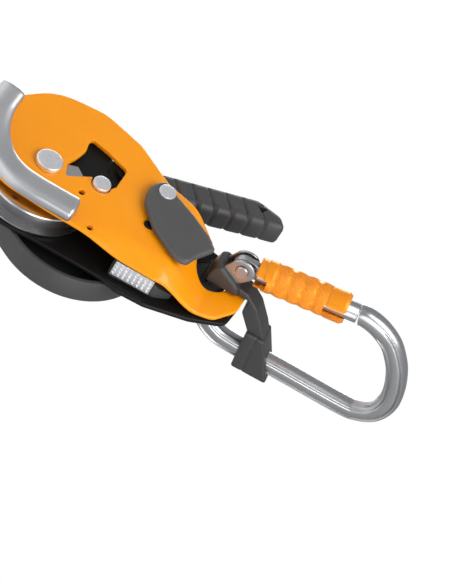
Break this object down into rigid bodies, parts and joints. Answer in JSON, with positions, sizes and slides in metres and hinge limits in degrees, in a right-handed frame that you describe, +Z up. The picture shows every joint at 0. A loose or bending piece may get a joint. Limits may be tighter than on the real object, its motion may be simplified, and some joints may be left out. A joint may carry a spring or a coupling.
{
  "type": "rope pulley",
  "caption": "Progress-capture rope pulley with swinging side plate, friction horn and control handle, hung on a locking connector.",
  "frame": {"origin": "inside of the connector's top bow, where it hangs", "axes": "+Z up along the connector's spine, -Y out of the painted side plate, +X toward the friction horn"},
  "size_m": [0.0937, 0.0763, 0.2401],
  "materials": {
    "aluminium": "polished",
    "steel": "turned",
    "orange_paint": "gloss",
    "orange_anodised": "satin",
    "grey_plastic": "satin",
    "black_plastic": "satin",
    "black_metal": "satin",
    "bronze": "machined"
  },
  "bodies": {
    "connector": {"connector_frame": "aluminium", "gate_rivet": "steel", "gate_spring": "steel", "positioning_bar": "grey_plastic", "bar_head_pin": "steel", "bar_foot_pin": "steel"},
    "gate": {"gate": "aluminium", "guide_pin": "steel"},
    "sleeve_carrier": {"sleeve_spring": "steel"},
    "sleeve": {"lock_sleeve": "orange_anodised"},
    "device": {"rear_plate": "black_metal", "rear_guard": "grey_plastic", "main_axle": "steel", "axle_clip": "steel", "stop_pin": "steel", "inner_cover": "black_plastic", "cover_screw": "steel", "pad_block": "grey_plastic", "friction_pad": "steel", "pad_screw_1": "steel", "pad_screw_2": "steel", "pawl_pin": "steel", "pawl_spring": "steel", "handle_bolt": "black_metal", "handle_nut": "steel", "handle_spring": "steel"},
    "sheave": {"sheave": "aluminium", "sheave_bush": "bronze", "ratchet_wheel": "steel"},
    "pawl": {"pawl": "steel"},
    "cam": {"release_cam": "steel"},
    "swing_plate": {"side_plate": "orange_paint", "friction_horn": "aluminium", "horn_rivet_1": "steel", "horn_rivet_2": "steel", "latch_rivet": "steel", "latch_spring": "steel"},
    "latch": {"latch": "grey_plastic"},
    "catch": {"catch_button": "black_plastic"},
    "handle": {"handle_lever": "black_metal", "handle_grip": "grey_plastic", "grip_pin": "steel"}
  },
  "joints": [
    {"name": "gate_open", "type": "hinge", "parent": "connector", "child": "gate", "pos_m": [0, -0.019, -0.088], "axis": [-1, 0, 0], "range_deg": [0, 18], "stiffness_Nm_per_rad": 0.05, "springref_deg": -17.19},
    {"name": "sleeve_slide", "type": "slide", "parent": "gate", "child": "sleeve_carrier", "axis": [0, 0.1644, -0.9864], "range_m": [0, 0.0025], "stiffness_N_per_m": 300, "springref_m": -0.002},
    {"name": "sleeve_twist", "type": "hinge", "parent": "sleeve_carrier", "child": "sleeve", "pos_m": [0, -0.019, -0.088], "axis": [0, -0.1644, 0.9864], "range_deg": [0, 90], "stiffness_Nm_per_rad": 0.01, "springref_deg": -11.46},
    {"name": "device_swing", "type": "hinge", "parent": "connector", "child": "device", "pos_m": [0, 0, -0.0988], "axis": [0, 1, 0], "range_deg": [-15, 15]},
    {"name": "sheave_spin", "type": "hinge", "parent": "device", "child": "sheave", "pos_m": [0.004, 0, -0.1914], "axis": [0, 1, 0], "continuous": true},
    {"name": "pawl_swing", "type": "hinge", "parent": "device", "child": "pawl", "pos_m": [-0.002, 0, -0.1674], "axis": [0, -1, 0], "range_deg": [0, 10], "stiffness_Nm_per_rad": 0.01, "springref_deg": -5.73},
    {"name": "side_plate_open", "type": "hinge", "parent": "device", "child": "swing_plate", "pos_m": [0.004, 0, -0.1914], "axis": [0, 1, 0], "range_deg": [0, 38]},
    {"name": "latch_open", "type": "hinge", "parent": "swing_plate", "child": "latch", "pos_m": [-0.0137, 0, -0.1361], "axis": [0, 1, 0], "range_deg": [0, 30], "stiffness_Nm_per_rad": 0.02, "springref_deg": -17.19},
    {"name": "catch_press", "type": "slide", "parent": "swing_plate", "child": "catch", "axis": [0, 1, 0], "range_m": [0, 0.001], "stiffness_N_per_m": 200, "springref_m": -0.001},
    {"name": "handle_turn", "type": "hinge", "parent": "device", "child": "handle", "pos_m": [-0.02, 0, -0.1568], "axis": [0, -1, 0], "range_deg": [0, 100]},
    {"name": "cam_turn", "type": "hinge", "parent": "device", "child": "cam", "pos_m": [0.004, 0, -0.1914], "axis": [0, -1, 0], "range_deg": [0, 12]}
  ],
  "couplings": [
    {"joint": "cam_turn", "follows": "handle_turn", "ratio": 0.12}
  ]
}
